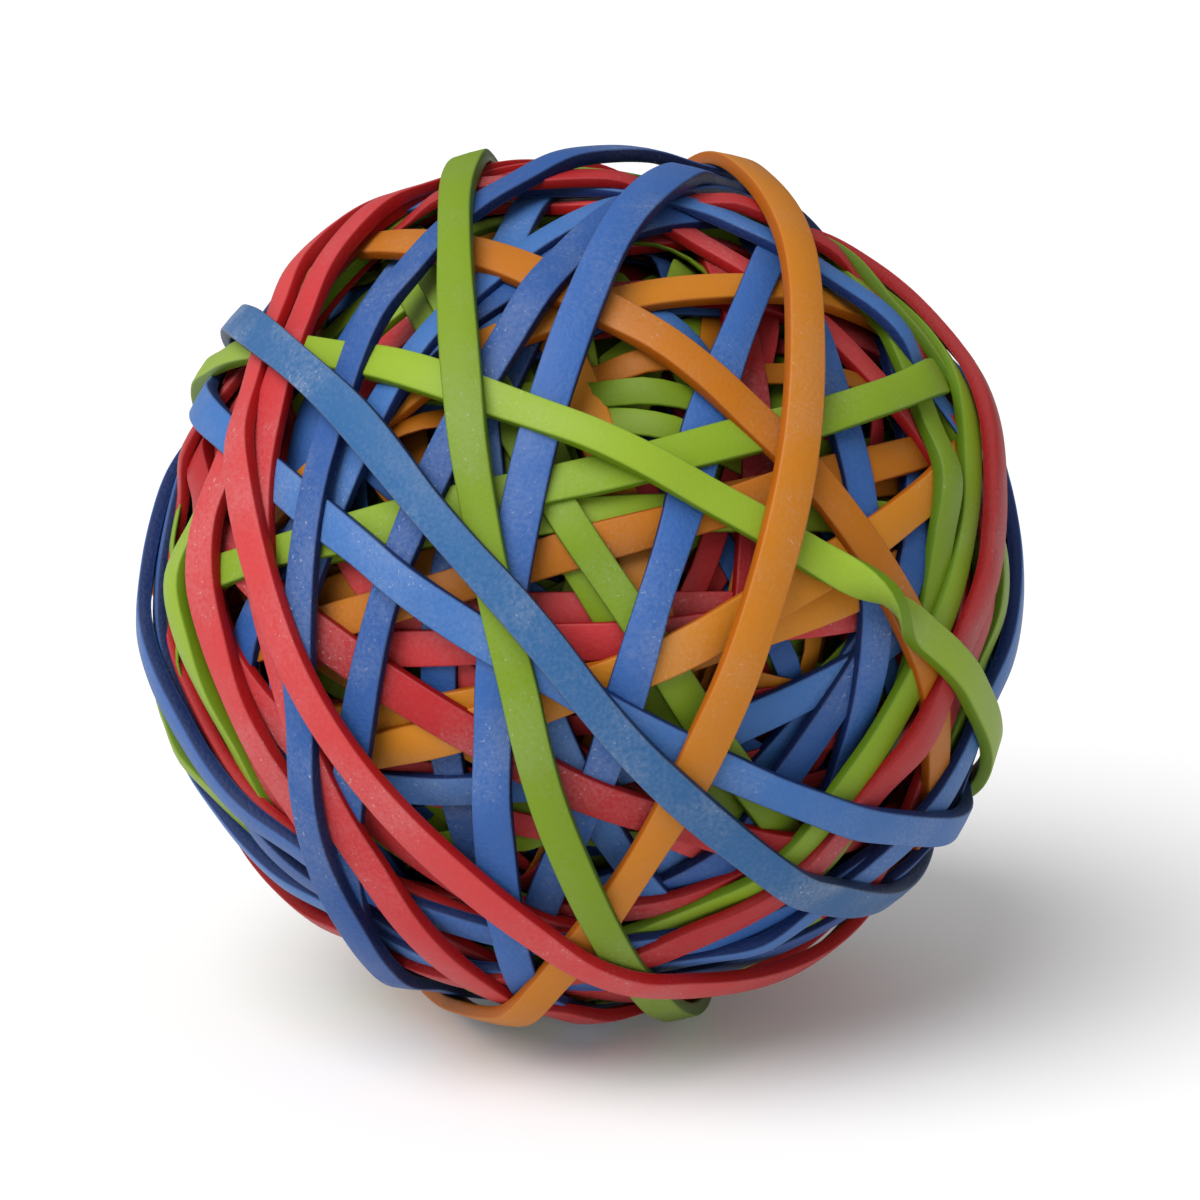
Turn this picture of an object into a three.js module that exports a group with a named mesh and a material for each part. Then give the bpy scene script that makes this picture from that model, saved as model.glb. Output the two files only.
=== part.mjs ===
// A rubber band ball: flat elastic bands of four colours, wound one over another
// on a solid ball of hidden bands. Millimetres, +Z up, the front faces -Y.
// Every band is a taut ring. All the rings are pulled tight together, so that an
// upper band presses the lower ones down until they rest on each other, and then
// each is laid once more, from the inside out, clear of all that it crosses.
import * as THREE from 'three';

// Driving dimensions, in millimetres.
const INNER_RADIUS = 32.5;     // ball of hidden bands that the outer ones are wound on
const OUTER_RADIUS = 37.5;     // radius the ball is pressed to, about which its crossings rise and dip
const BAND_WIDTH = 2.7;        // width of a stretched band
const WIDTH_STEP = 0.1;        // bands stretch unevenly, so widths vary by this step
const WIDTHS = 5;              // different widths, which follow each other in a mixed order
const WIDTH_STRIDE = 3;        // how far apart in width one band and the next are, in steps
const BAND_THICKNESS = 1.1;    // thickness of a stretched band
const PRESSED_THICKNESS = 0.4; // thickness where other bands lie on it and squeeze it
const CLEARANCE = 0.1;         // gap kept above whatever a band crosses
const MAX_ROLL = 0.9;          // most that one edge of a band stands above the other
const ROLL_SHARE = 0.5;        // share of a roll over that, which the lower edge gives way

// How finely a band is laid and pulled tight.
const STATIONS = 48;           // bends that a band may have
const STEP = (2 * Math.PI) / STATIONS;
const PER_STEP = 5;            // places between two bends where contact is looked for
const ACROSS = [-1, -0.5, 0, 0.5, 1];         // contact places across, in half widths
const REACH = 1.15;            // how far aside a lower band is still felt, in half widths
const LAYER = 0.12;            // spacing of the bands before they are pulled tight
const PULLS = 200;             // rounds of pulling
const TENSION = 0.1;           // share of its bend that a band loses in one round
const ROUNDS = 4;              // rounds of parting the bands after each pull
const GIVE = 0.5;              // share of an overlap that the lower band gives way
const LAYINGS = 60;            // rounds of lifting a band clear when it is laid
const PRESS_REACH = 0.22;      // how far round it a high spot is felt, in radians
const PRESS_POWER = 40;        // how much the highest bands count for where they lie
const INNER_DETAIL = 7;        // subdivision of the inner ball

const COLOURS = { red: '#c8444a', orange: '#d07f2c', green: '#8fb336', blue: '#5580bd' };
const INNER_COLOUR = '#3a2c33';
const RUBBER = { roughness: 0.55, metalness: 0 };

// The outer bands in winding order, the deepest first. A row is the colour, the
// azimuth and elevation in degrees of the pole of the band's plane, the shift of
// the plane along that pole in millimetres, and for a band that leaves its plane
// the height of its bow in millimetres and where round the band the bow is highest.
const WINDING = [
  ['red', 89, 80, -1],
  ['orange', 21, 9, -7],
  ['red', 201, 12, 0],
  ['orange', 129, 70, 2],
  ['red', 115, 20, 0],
  ['green', 109, 16, 0],
  ['blue', 221, 39, 0],
  ['red', 342, 50, 0],
  ['orange', 320, 64, 0],
  ['green', 106, 7, 0],
  ['green', 6, 31, 1],
  ['red', 108, 36, 1],
  ['blue', 148, 2, -8],
  ['blue', 317, 7, -1],
  ['red', 132, 84, 0],
  ['green', 99, 69, 0],
  ['orange', 184, 75, 0],
  ['blue', 225, 70, 0],
  ['blue', 221, 34, 0],
  ['orange', 145, 70, 3],
  ['red', 66, 9, -1],
  ['blue', 219, 10, -3, 4, 28],
  ['green', 12, 30, 1, 2, 70],
  ['green', 299, 39, 1],
  ['blue', 337, 18, 10],
  ['orange', 118, 38, 1],
  ['blue', 134, 23, 2],
  ['red', 249, 49, 0],
  ['orange', 187, 67, 1],
  ['blue', 174, 22, -6, 2, 66],
  ['blue', 138, 14, 0],
  ['red', 307, 40, 0],
  ['red', 299, 15, 3],
  ['red', 333, 62, -1],
  ['green', 247, 2, -1],
  ['green', 228, 19, -1],
  ['green', 135, 62, 5, 3, 163],
  ['green', 302, 10, 0],
  ['green', 252, 11, 1],
  ['green', 231, 36, 0],
  ['red', 282, 40, 2, 2, 85],
  ['orange', 46, 29, 0, 1, 18],
  ['red', 307, 18, 2, 1, 94],
  ['blue', 278, 29, 3],
  ['blue', 275, 43, 3],
  ['blue', 259, 41, -1],
  ['red', 237, 35, 1, 1, 90],
  ['blue', 152, 15, 0],
  ['blue', 160, 5, -6],
  ['blue', 357, 62, 0, 1, 131],
  ['green', 47, 50, 0, 1, 29],
  ['red', 316, 16, 1, 1, 22],
  ['blue', 138, 5, -1, 3, 68],
  ['orange', 198, 21, 0],
  ['green', 355, 15, -1, 1, 99],
  ['red', 323, 34, 1, 1, 110],
  ['blue', 3, 52, -1, 4, 129],
];

// Radius, at angle a from the first end, of a straight line whose ends are at radii
// r0 and r1 and span the angle `span` at the ball's centre.
function lineRadius(r0, r1, a, span) {
  return (r0 * r1 * Math.sin(span)) / (r0 * Math.sin(a) + r1 * Math.sin(span - a));
}

// The line on the ball that a band follows: a circle about a pole, shifted along
// the pole and bowed out of its plane.
class Course {
  constructor(azimuth, elevation, shift, bow = 0, bowAt = 0) {
    const az = THREE.MathUtils.degToRad(azimuth);
    const el = THREE.MathUtils.degToRad(elevation);
    this.pole = new THREE.Vector3(
      Math.cos(el) * Math.cos(az), Math.cos(el) * Math.sin(az), Math.sin(el));
    this.start = new THREE.Vector3(-Math.sin(az), Math.cos(az), 0);
    this.quarter = new THREE.Vector3().crossVectors(this.pole, this.start);
    this.shift = shift / OUTER_RADIUS;
    this.bow = bow / OUTER_RADIUS;
    this.bowAt = THREE.MathUtils.degToRad(bowAt);
  }

  // Angle of the course above the plane through the centre.
  latitude(angle) {
    return this.shift + this.bow * Math.cos(2 * (angle - this.bowAt));
  }

  // Outward direction at an angle round the course, and the direction across it.
  frame(angle, aside = 0) {
    const lat = this.latitude(angle) + aside;
    const spoke = this.start.clone().multiplyScalar(Math.cos(angle))
      .addScaledVector(this.quarter, Math.sin(angle));
    return {
      out: spoke.clone().multiplyScalar(Math.cos(lat)).addScaledVector(this.pole, Math.sin(lat)),
      across: spoke.multiplyScalar(-Math.sin(lat)).addScaledVector(this.pole, Math.cos(lat)),
    };
  }

  // Angle round the course of a direction, and how far aside of the course it is.
  locate(out) {
    const angle = Math.atan2(out.dot(this.quarter), out.dot(this.start));
    const latitude = Math.asin(THREE.MathUtils.clamp(out.dot(this.pole), -1, 1));
    return { angle: (angle + 2 * Math.PI) % (2 * Math.PI), aside: latitude - this.latitude(angle) };
  }
}

// One band: a ring of stations, each with the radius of its two inner edges.
class Band {
  constructor(colour, course, width, radius) {
    this.colour = colour;
    this.course = course;
    this.width = width;
    this.halfAngle = width / 2 / OUTER_RADIUS;
    this.radii = new Float64Array(2 * STATIONS).fill(radius);
    this.thickness = new Float64Array(STATIONS).fill(BAND_THICKNESS);
  }

  // The place on the band's inner face at an angle round it and a share across it:
  // the four edge radii that hold it up, what each counts for, and how much the
  // straight run between two stations lies inside their own radius.
  place(angle, across) {
    const along = angle / STEP;
    const i = Math.floor(along) % STATIONS;
    const next = (i + 1) % STATIONS;
    const t = along - Math.floor(along);
    const right = THREE.MathUtils.clamp((1 + across) / 2, 0, 1);
    const sag = Math.cos(STEP / 2) / Math.cos((t - 0.5) * STEP);
    return {
      stations: [i, next],
      along: t,
      edges: [2 * i, 2 * i + 1, 2 * next, 2 * next + 1],
      shares: [(1 - t) * (1 - right), (1 - t) * right, t * (1 - right), t * right]
        .map((share) => share * sag),
    };
  }

  // Radius of the inner face at a place.
  radiusAt({ edges, shares }) {
    return edges.reduce((sum, edge, k) => sum + this.radii[edge] * shares[k], 0);
  }

  // Radius of the outer face at a place.
  topRadiusAt(place) {
    const [near, far] = place.stations.map((station) => this.thickness[station]);
    return this.radiusAt(place) + THREE.MathUtils.lerp(near, far, place.along);
  }

  // Moves the inner face at a place by a distance.
  move({ edges, shares }, distance) {
    const weight = shares.reduce((sum, share) => sum + share * share, 0);
    edges.forEach((edge, k) => { this.radii[edge] += (distance * shares[k]) / weight; });
  }

  // Raises all that holds the inner face up at a place by the same distance.
  raise({ edges, shares }, distance) {
    edges.forEach((edge, k) => { if (shares[k] > 0) this.radii[edge] += distance; });
  }

  // Places all over the inner face, with the direction of each from the centre.
  places() {
    const list = [];
    for (let k = 0; k < STATIONS * PER_STEP; k += 1) {
      const angle = (k * STEP) / PER_STEP;
      for (const across of ACROSS) {
        const { out } = this.course.frame(angle, across * this.halfAngle);
        list.push({ out, place: this.place(angle, across) });
      }
    }
    return list;
  }

  // One round of tension: every station moves towards the straight run between its
  // neighbours, and neither edge stands much above the other.
  tighten(tension) {
    for (let k = 0; k < 2 * STATIONS; k += 1) {
      const before = this.radii[(k + 2 * STATIONS - 2) % (2 * STATIONS)];
      const after = this.radii[(k + 2) % (2 * STATIONS)];
      this.radii[k] += tension * (lineRadius(before, after, STEP, 2 * STEP) - this.radii[k]);
    }
    this.limitRoll(ROLL_SHARE);
  }

  // Brings the edges at each station within MAX_ROLL, lifting the lower one by its
  // share of the excess and lowering the upper one by the rest.
  limitRoll(lowerShare) {
    for (let k = 0; k < 2 * STATIONS; k += 2) {
      const [high, low] = this.radii[k] > this.radii[k + 1] ? [k, k + 1] : [k + 1, k];
      const excess = Math.max(0, this.radii[high] - this.radii[low] - MAX_ROLL);
      this.radii[low] += excess * lowerShare;
      this.radii[high] -= excess * (1 - lowerShare);
    }
  }

  // Keeps the band outside the inner ball.
  clearInnerBall() {
    const least = (INNER_RADIUS + CLEARANCE) / Math.cos(STEP / 2);
    for (let k = 0; k < 2 * STATIONS; k += 1) this.radii[k] = Math.max(this.radii[k], least);
  }

  // Lifts the band clear of what lies below it, and fixes its sections.
  lay(supportRadius) {
    const needs = this.places()
      .map(({ out, place }) => ({ place, radius: supportRadius(out) + CLEARANCE }));
    for (let round = 0; round < LAYINGS; round += 1) {
      for (const { place, radius } of needs) {
        const lack = radius - this.radiusAt(place);
        if (lack > 0) this.raise(place, lack);
      }
      this.limitRoll(1);
    }
    this.sections = Array.from({ length: STATIONS }, (_, i) => this.section(i));
  }

  // Corners of the band's section at a station: inner left, inner right, outer
  // right, outer left. The section stays a rectangle as the band rolls.
  section(i) {
    const { out, across } = this.course.frame(i * STEP);
    const [leftRadius, rightRadius] = this.radii.slice(2 * i, 2 * i + 2);
    const rise = rightRadius - leftRadius;
    const half = Math.sqrt(this.width ** 2 - rise ** 2) / 2;
    const lift = out.clone().multiplyScalar(2 * half).addScaledVector(across, -rise)
      .setLength(this.thickness[i]);
    const left = out.clone().multiplyScalar(leftRadius).addScaledVector(across, -half);
    const right = out.clone().multiplyScalar(rightRadius).addScaledVector(across, half);
    return [left, right, right.clone().add(lift), left.clone().add(lift)];
  }

  // Outer radius of the band in a direction, or 0 where the band doesn't pass.
  topRadius(out) {
    const { angle, aside } = this.course.locate(out);
    if (Math.abs(aside) > 2 * this.halfAngle) return 0;
    const i = Math.floor(angle / STEP) % STATIONS;
    const along = angle - i * STEP;
    const ends = [this.sections[i], this.sections[(i + 1) % STATIONS]];
    const places = ends.map((section) => section.map((corner) => ({
      radius: corner.length(),
      aside: this.course.locate(corner.clone().normalize()).aside,
    })));
    const [innerLeft, innerRight, right, left] = [0, 1, 2, 3].map((k) => ({
      radius: lineRadius(places[0][k].radius, places[1][k].radius, along, STEP),
      aside: THREE.MathUtils.lerp(places[0][k].aside, places[1][k].aside, along / STEP),
    }));
    const margin = CLEARANCE / OUTER_RADIUS;
    if (aside < Math.min(left.aside, innerLeft.aside) - margin) return 0;
    if (aside > Math.max(right.aside, innerRight.aside) + margin) return 0;
    const share = THREE.MathUtils.clamp((aside - left.aside) / (right.aside - left.aside), 0, 1);
    return THREE.MathUtils.lerp(left.radius, right.radius, share);
  }

  // Closed surface of the band. A twisted inner face is folded outward and a twisted
  // outer face inward, so that neither reaches past the band's true thickness.
  geometry() {
    const positions = this.sections.flat().flatMap((corner) => corner.toArray());
    const indices = [];
    for (let i = 0; i < STATIONS; i += 1) {
      const next = (i + 1) % STATIONS;
      for (let k = 0; k < 4; k += 1) {
        const quad = [[i, k], [i, (k + 1) % 4], [next, (k + 1) % 4], [next, k]];
        const [a, b, c, d] = quad.map(([station, corner]) => 4 * station + corner);
        const middle = ([p, q]) => this.sections[quad[p][0]][quad[p][1]].clone()
          .add(this.sections[quad[q][0]][quad[q][1]]).length();
        const foldOut = middle([0, 2]) > middle([1, 3]);
        if (foldOut === (k === 0)) indices.push(a, b, c, a, c, d);
        else indices.push(a, b, d, b, c, d);
      }
    }
    const geometry = new THREE.BufferGeometry();
    geometry.setAttribute('position', new THREE.Float32BufferAttribute(positions, 3));
    geometry.setIndex(indices);
    return geometry;
  }
}

// Every place where a band lies over a lower one.
function findContacts(bands) {
  const contacts = [];
  bands.forEach((upper, j) => {
    for (const { out, place } of upper.places()) {
      for (const lower of bands.slice(0, j)) {
        const { angle, aside } = lower.course.locate(out);
        const across = aside / lower.halfAngle;
        if (Math.abs(across) < REACH) {
          contacts.push({ upper, place, lower, below: lower.place(angle, across) });
        }
      }
    }
  });
  return contacts;
}

// Squeezes every band thin at the stations on both sides of a place that is covered.
function squeeze(contacts) {
  for (const { lower, below } of contacts) {
    for (const station of below.stations) lower.thickness[station] = PRESSED_THICKNESS;
  }
}

// Pulls all the bands tight together: tension draws each one in, and where one
// presses on another the two share the way that they give.
function pullTight(bands) {
  const contacts = findContacts(bands);
  squeeze(contacts);
  for (let pull = 0; pull < PULLS; pull += 1) {
    const ease = 1 - pull / PULLS;
    for (const band of bands) band.tighten(TENSION);
    for (let round = 0; round < ROUNDS; round += 1) {
      for (const { upper, place, lower, below } of contacts) {
        const lack = lower.topRadiusAt(below) + CLEARANCE - upper.radiusAt(place);
        if (lack > 0) {
          upper.move(place, lack * (1 - GIVE * ease));
          lower.move(below, -lack * GIVE * ease);
        }
      }
      for (const band of bands) band.clearInnerBall();
    }
  }
}

// How far to scale the ball in a direction so that it comes out round: the ratio of
// its radius to the height of the bands near that direction, the highest counting most.
function pressFactor(out, peaks) {
  let [sum, weights] = [0, 0];
  for (const peak of peaks) {
    const weight = Math.exp((out.dot(peak.out) - 1) / PRESS_REACH ** 2);
    sum += weight * (peak.radius / OUTER_RADIUS) ** PRESS_POWER;
    weights += weight;
  }
  return (weights / sum) ** (1 / PRESS_POWER);
}

// Presses bands and inner ball round together, all layers alike, so that nothing
// that was clear comes to overlap.
function pressRound(bands, innerBall) {
  const peaks = bands.flatMap((band) => band.sections.flatMap((section) => section.slice(2)))
    .map((corner) => ({ out: corner.clone().normalize(), radius: corner.length() }));
  const press = (point) => point.multiplyScalar(pressFactor(point.clone().normalize(), peaks));
  for (const band of bands) band.sections.flat().forEach(press);
  const positions = innerBall.getAttribute('position');
  for (let i = 0; i < positions.count; i += 1) {
    const point = press(new THREE.Vector3().fromBufferAttribute(positions, i));
    positions.setXYZ(i, ...point.toArray());
  }
}

// Width of the band in a row: one of WIDTHS evenly spaced about the usual width.
function bandWidth(row) {
  return BAND_WIDTH + WIDTH_STEP * (((row * WIDTH_STRIDE) % WIDTHS) - (WIDTHS - 1) / 2);
}

// Winds every row of the table in turn on the inner ball.
function windBands() {
  const bands = WINDING.map(([colour, azimuth, elevation, shift, bow, bowAt], i) => new Band(
    colour, new Course(azimuth, elevation, shift, bow, bowAt), bandWidth(i), OUTER_RADIUS + LAYER * i));
  pullTight(bands);
  bands.forEach((band, j) => band.lay((out) => Math.max(
    INNER_RADIUS, ...bands.slice(0, j).map((lower) => lower.topRadius(out)))));
  return bands;
}

// A named mesh in rubber of one colour.
function rubberMesh(name, geometry, colour) {
  const mesh = new THREE.Mesh(geometry, new THREE.MeshStandardMaterial({ color: colour, ...RUBBER }));
  mesh.name = name;
  return mesh;
}

// The whole ball, set down so that the middle of its underside is at the origin.
function buildBall() {
  const ball = new THREE.Group();
  ball.name = 'rubber_band_ball';
  const innerBall = new THREE.IcosahedronGeometry(INNER_RADIUS, INNER_DETAIL);
  const bands = windBands();
  pressRound(bands, innerBall);
  ball.add(rubberMesh('inner_bands', innerBall, INNER_COLOUR));
  const counts = {};
  for (const band of bands) {
    counts[band.colour] = (counts[band.colour] ?? 0) + 1;
    const name = `${band.colour}_band_${String(counts[band.colour]).padStart(2, '0')}`;
    ball.add(rubberMesh(name, band.geometry(), COLOURS[band.colour]));
  }
  const box = new THREE.Box3().setFromObject(ball, true);
  const middle = box.getCenter(new THREE.Vector3());
  for (const mesh of ball.children) mesh.position.set(-middle.x, -middle.y, -box.min.z);
  return ball;
}

export default buildBall();
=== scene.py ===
"""Rubber band ball: flat elastic bands of four colours, wound one over another.

Each outer band is rebuilt from its CAD loop as a smooth ribbon with rounded edges. Under
them lie inner bands, and under those a banded core, which show through the gaps; the
inner bands' dimmed tints and the core's dark colour are painted shade.
"""

from __future__ import annotations

import logging
import math
from dataclasses import dataclass, field
from enum import Enum

import bpy
import numpy as np
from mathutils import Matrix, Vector
from mathutils.bvhtree import BVHTree

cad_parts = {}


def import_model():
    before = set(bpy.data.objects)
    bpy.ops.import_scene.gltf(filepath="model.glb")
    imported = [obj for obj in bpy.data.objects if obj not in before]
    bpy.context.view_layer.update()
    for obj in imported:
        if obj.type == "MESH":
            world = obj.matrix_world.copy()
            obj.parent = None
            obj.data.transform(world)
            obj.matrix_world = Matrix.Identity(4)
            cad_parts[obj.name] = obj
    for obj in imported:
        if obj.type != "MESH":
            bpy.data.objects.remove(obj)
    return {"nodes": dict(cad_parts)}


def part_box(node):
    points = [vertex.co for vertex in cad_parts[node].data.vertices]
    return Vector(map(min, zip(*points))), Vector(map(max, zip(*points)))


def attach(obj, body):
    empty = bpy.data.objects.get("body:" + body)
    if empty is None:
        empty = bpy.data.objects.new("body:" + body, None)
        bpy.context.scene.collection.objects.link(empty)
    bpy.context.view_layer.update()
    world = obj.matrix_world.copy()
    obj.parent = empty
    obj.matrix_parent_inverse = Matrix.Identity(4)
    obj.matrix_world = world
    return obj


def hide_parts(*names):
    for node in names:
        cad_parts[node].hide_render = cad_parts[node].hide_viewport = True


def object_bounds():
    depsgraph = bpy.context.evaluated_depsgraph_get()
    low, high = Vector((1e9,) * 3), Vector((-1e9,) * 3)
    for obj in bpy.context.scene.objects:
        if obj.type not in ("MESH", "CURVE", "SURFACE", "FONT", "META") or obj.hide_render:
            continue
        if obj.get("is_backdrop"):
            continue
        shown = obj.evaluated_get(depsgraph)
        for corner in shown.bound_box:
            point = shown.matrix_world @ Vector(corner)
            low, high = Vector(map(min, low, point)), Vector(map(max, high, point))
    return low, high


LOG = logging.getLogger("rubber_band_ball")
ROOT_BODY = "root"
INNER_NODE = "inner_bands"
DUSTY_BAND = "blue_band_18"
LOWER_BANDS = 38  # outer bands, the lowest first, that the middle bands are wound on
TWISTED_BAND = "green_band_13"
TURNS_OVER = (0.60, -0.77, 0.17)  # direction from the ball's centre to where it turns over
TURNS_BACK = (-0.50, 0.80, 0.30)  # and to where it turns back
MM = 0.001
SIDE_ATTRIBUTE = "side"
EDGE_HIGHLIGHT_ATTRIBUTE = "edge_highlight"

Colour = tuple[float, float, float]


class Rubber(Enum):
    """The rubber colours, named as the CAD bands are."""

    RED = "red"
    ORANGE = "orange"
    GREEN = "green"
    BLUE = "blue"

    @property
    def slot(self) -> str:
        """The record's material slot for this colour."""
        return f"{self.value}_rubber"


class Corner(Enum):
    """The corners of a band's section, in order round it."""

    INNER_LEFT = 0
    INNER_RIGHT = 1
    OUTER_RIGHT = 2
    OUTER_LEFT = 3


# ---------------------------------------------------------------- shader helpers


class Value:
    """A shader socket that can be used in arithmetic."""

    def __init__(self, graph: "Graph", socket: bpy.types.NodeSocket) -> None:
        """Wraps one output socket of a graph."""
        self.graph = graph
        self.socket = socket

    def _math(self, operation: str, first: "Value | float", second: "Value | float") -> "Value":
        """Adds a Math node.

        Args:
            operation: The Math node's operation.
            first: The first operand.
            second: The second operand.

        Returns:
            The node's result.
        """
        return self.graph.add("ShaderNodeMath", {"operation": operation}, {0: first, 1: second})

    def __add__(self, other: "Value | float") -> "Value":
        """Adds a value or number."""
        return self._math("ADD", self, other)

    def __radd__(self, other: float) -> "Value":
        """Adds to a number."""
        return self._math("ADD", other, self)

    def __sub__(self, other: "Value | float") -> "Value":
        """Takes away a value or number."""
        return self._math("SUBTRACT", self, other)

    def __rsub__(self, other: float) -> "Value":
        """Takes this value from a number."""
        return self._math("SUBTRACT", other, self)

    def __mul__(self, other: "Value | float") -> "Value":
        """Multiplies by a value or number."""
        return self._math("MULTIPLY", self, other)

    def __rmul__(self, other: float) -> "Value":
        """Multiplies a number."""
        return self._math("MULTIPLY", other, self)


class Graph:
    """A material's node tree, with one method that makes any node."""

    def __init__(self, owner: bpy.types.Material | bpy.types.World) -> None:
        """Empties the node tree of a material or world."""
        owner.use_nodes = True
        self.owner = owner
        self.tree = owner.node_tree
        self.tree.nodes.clear()

    @classmethod
    def of_material(cls, name: str) -> "Graph":
        """Starts a new material."""
        return cls(bpy.data.materials.new(name))

    def finish(self, shader: bpy.types.Node, output: str = "ShaderNodeOutputMaterial") -> None:
        """Links a shader to a new output node."""
        self.tree.links.new(shader.outputs[0], self.tree.nodes.new(output).inputs[0])

    def node(self, kind: str, settings: dict[str, object] | None = None,
             inputs: dict[str | int, object] | None = None) -> bpy.types.Node:
        """Makes a node.

        Args:
            kind: The node's type.
            settings: Properties, which are set first. "stops" fills a colour ramp.
            inputs: Values, or Value links, by socket name or number.

        Returns:
            The node.
        """
        made = self.tree.nodes.new(kind)
        for key, setting in (settings or {}).items():
            setattr(made, key, setting)
        for key, given in (inputs or {}).items():
            if isinstance(given, Value):
                self.tree.links.new(given.socket, made.inputs[key])
            else:
                made.inputs[key].default_value = given
        return made

    def add(self, kind: str, settings: dict[str, object] | None = None,
            inputs: dict[str | int, object] | None = None, output: str | int = 0) -> Value:
        """Makes a node and wraps one of its outputs.

        Args:
            kind: The node's type.
            settings: Properties, which are set first.
            inputs: Values or links by socket.
            output: The output to wrap.

        Returns:
            The wrapped output.
        """
        return Value(self, self.node(kind, settings, inputs).outputs[output])

    def noise(self, place: Value, size: float, detail: float = 2.0) -> Value:
        """Noise with features of about a given size.

        Args:
            place: The coordinates.
            size: The size of a feature in metres.
            detail: How many finer layers it has.

        Returns:
            A value from 0 to 1.
        """
        return self.add("ShaderNodeTexNoise", None, {"Vector": place, "Scale": 1 / size, "Detail": detail})

    def ramp(self, value: Value, low: float, high: float) -> Value:
        """Maps low..high onto 0..1 with soft ends.

        Args:
            value: The value to map.
            low: What becomes 0.
            high: What becomes 1.

        Returns:
            The mapped value.
        """
        return self.add("ShaderNodeMapRange", {"interpolation_type": "SMOOTHSTEP"},
                        {"Value": value, "From Min": low, "From Max": high})

    def mix(self, factor: Value | float, first: Value | Colour, second: Value | Colour) -> Value:
        """Mixes two colours.

        Args:
            factor: 0 for the first colour, 1 for the second.
            first: A colour or a link.
            second: A colour or a link.

        Returns:
            The mixed colour.
        """
        node = self.node("ShaderNodeMix", {"data_type": "RGBA"})
        for index, given in ((0, factor), (6, first), (7, second)):
            if isinstance(given, Value):
                self.tree.links.new(given.socket, node.inputs[index])
            else:
                node.inputs[index].default_value = (*given, 1.0) if isinstance(given, tuple) else given
        return Value(self, node.outputs[2])


# ---------------------------------------------------------------------- finishes


@dataclass(frozen=True)
class RubberFinish:
    """Dusty, faintly grained rubber of one tint.

    Attributes:
        name: The material's name.
        face: Colour of the dusty flat face.
        side: Deeper colour of the cut sides: painted shade on the sides, which also hold no dust.
        dust: How much powder lies on the face, from 0 to 1.
        powder: Colour of the powder.
        patch_size: Size of the uneven patches, in metres.
        grain_size: Size of the paper-like grain, in metres.
        fleck_size: Spacing of the powder flecks, in metres.
        roughness: Roughness of clean rubber.
        specular: Specular level of the rubber.
        bumps: Strength of the grain's relief.
    """

    name: str
    face: Colour
    side: Colour
    dust: float = 0.5
    powder: Colour = (0.72, 0.74, 0.76)
    patch_size: float = 9 * MM
    grain_size: float = 0.35 * MM
    fleck_size: float = 0.33 * MM
    roughness: float = 0.42
    specular: float = 0.16
    bumps: float = 0.25

    RELIEF = 0.14 * MM  # height of the grain
    FLECKS_FROM = (0.66, 0.76)  # noise that turns into flecks
    FLECKED_PATCHES = (0.46, 0.62)  # patches that hold flecks
    FILM_FROM = (0.36, 0.7)  # noise that turns into a film of dust
    FILMED_PATCHES = (0.4, 0.7)  # patches where the film is thicker
    MOTTLED_PATCHES = (0.3, 0.75)  # patches of deeper colour
    FILM_SHARE, FLECK_SHARE, WEAR_SHARE = 0.12, 0.38, 0.08  # what each adds to the powder colour; the third is a painted highlight along the rounded edges
    CLEAN_SIDE = 0.85  # share of the powder that the sides lack
    DEEPER = 0.8  # brightness of the deeper patches
    MOTTLING = 0.35  # strength of the deeper patches

    def build(self) -> bpy.types.Material:
        """Makes the material.

        Returns:
            The material.
        """
        graph = Graph.of_material(self.name)
        place = graph.add("ShaderNodeTexCoord", output="Object")
        side = graph.add("ShaderNodeAttribute", {"attribute_name": SIDE_ATTRIBUTE}, output="Fac")
        edge_highlight = graph.add("ShaderNodeAttribute", {"attribute_name": EDGE_HIGHLIGHT_ATTRIBUTE}, output="Fac")
        patches = graph.noise(place, self.patch_size, 3.0)
        grain = graph.noise(place, self.grain_size, 4.0)
        specks = graph.noise(place, self.fleck_size, 1.0)
        flecks = graph.ramp(specks, *self.FLECKS_FROM) * graph.ramp(patches, *self.FLECKED_PATCHES)
        film = graph.ramp(patches * 0.5 + grain * 0.5, *self.FILM_FROM)
        film = film * (0.4 + graph.ramp(patches, *self.FILMED_PATCHES))
        # The edge term paints a highlight in powder colour along the rounded edges.
        dusted = film * self.FILM_SHARE + flecks * self.FLECK_SHARE + edge_highlight * self.WEAR_SHARE
        powder = dusted * (1 - side * self.CLEAN_SIDE) * self.dust

        # Painted shade: the cut sides take the darker side colour.
        shade = graph.mix(side, self.face, self.side)
        deep = tuple(channel * self.DEEPER for channel in self.face)
        mottling = graph.ramp(patches, *self.MOTTLED_PATCHES) * (1 - side) * self.MOTTLING
        mottled = graph.mix(mottling, shade, deep)
        colour = graph.mix(powder, mottled, self.powder)
        bump = graph.node("ShaderNodeBump", None, {
            "Strength": self.bumps, "Distance": self.RELIEF, "Height": grain + flecks * 0.4})
        shader = graph.node("ShaderNodeBsdfPrincipled", None, {
            "Base Color": colour,
            "Roughness": self.roughness + powder * 0.5 + grain * 0.1,
            "Normal": Value(graph, bump.outputs[0])})
        shader.inputs["Specular IOR Level"].default_value = self.specular
        graph.finish(shader)
        return graph.owner


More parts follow.
